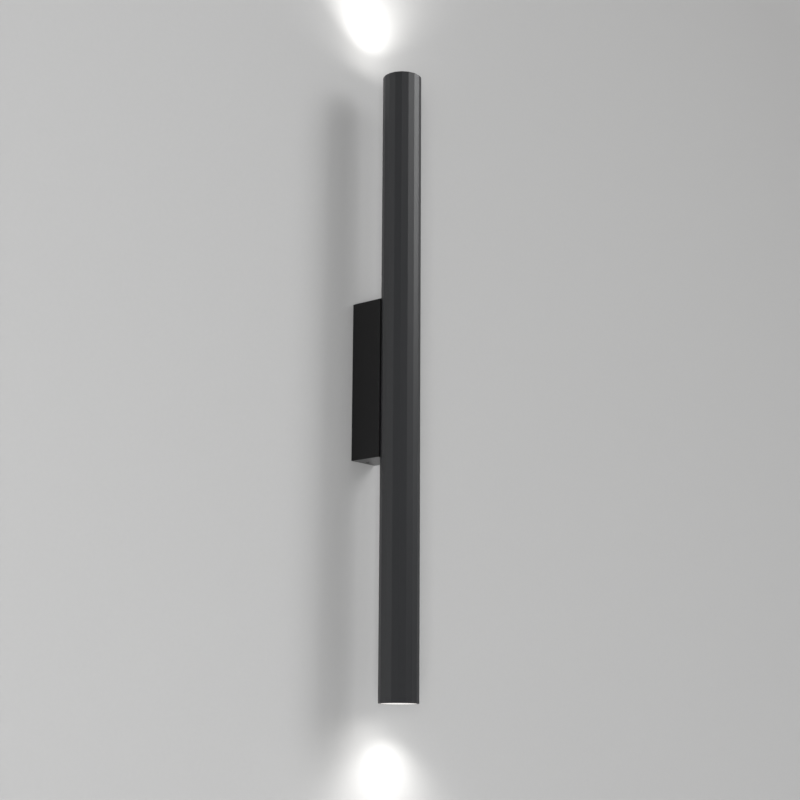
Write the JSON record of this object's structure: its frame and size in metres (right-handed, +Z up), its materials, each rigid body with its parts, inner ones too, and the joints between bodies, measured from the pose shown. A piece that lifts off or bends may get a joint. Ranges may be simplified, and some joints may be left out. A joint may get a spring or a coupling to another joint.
{
  "type": "tube wall light",
  "caption": "Slim up-and-down wall light: a faceted dark metal tube with a lit lens flush in each end, held in front of a small wall box on a folded wall plate.",
  "frame": {"origin": "on the wall, at the centre of the wall plate's back face, midway between the two wall screws", "axes": "+X along the wall to the right of a person facing it, +Y into the wall, +Z up along the tube"},
  "size_m": [0.0376, 0.0645, 0.6],
  "materials": {
    "anodised_tube": "satin dark anthracite, fine vertical extrusion grain",
    "painted_box": "fine matt black powder coat",
    "zinc_steel": "bright zinc plate",
    "black_rubber": "soft matt rubber",
    "black_screw": "black oxide",
    "plain_aluminium": "as extruded",
    "black_nylon": "moulded nylon",
    "white_case": "moulded, matt",
    "grey_nylon": "moulded nylon",
    "brass": "turned",
    "tinned_brass": "tin plate",
    "green_yellow_pvc": "smooth sleeve",
    "brown_blue_pvc": "smooth sleeve",
    "white_silicone": "soft sleeve",
    "frosted_lens": "frosted clear acrylic, lit white",
    "white_holder": "moulded, matt",
    "led_ceramic": "ceramic with a phosphor dome",
    "white_board": "white solder mask",
    "grey_pad": "soft silicone pad"
  },
  "bodies": {
    "wall_mount": {"wall_plate": "zinc_steel", "cable_grommet": "black_rubber"},
    "luminaire": {"tube": "anodised_tube", "wall_box": "painted_box", "grub_screws": "black_screw", "clamp_bar": "plain_aluminium", "tube_screws": "zinc_steel", "tube_screw_washers": "zinc_steel", "lead_bush": "black_nylon", "led_driver": "white_case", "driver_screws": "zinc_steel", "terminal_block": "grey_nylon", "terminal_cages": "brass", "terminal_clamp_screws": "zinc_steel", "terminal_fixing_screws": "zinc_steel", "earth_lug": "tinned_brass", "earth_screw": "brass", "earth_lead": "green_yellow_pvc", "supply_leads": "brown_blue_pvc", "upper_led_lead": "white_silicone", "lower_led_lead": "white_silicone", "board_screws": "zinc_steel", "heat_sink_screws": "black_screw", "upper_lens": "frosted_lens", "upper_lens_holder": "white_holder", "upper_led_chip": "led_ceramic", "upper_led_board": "white_board", "upper_thermal_pad": "grey_pad", "upper_heat_sink": "plain_aluminium", "lower_lens": "frosted_lens", "lower_lens_holder": "white_holder", "lower_led_chip": "led_ceramic", "lower_led_board": "white_board", "lower_thermal_pad": "grey_pad", "lower_heat_sink": "plain_aluminium"}
  },
  "joints": [
    {"name": "luminaire_pull_off", "type": "slide", "parent": "wall_mount", "child": "luminaire", "axis": [0, -1, 0], "range_m": [0, 0.04]}
  ]
}
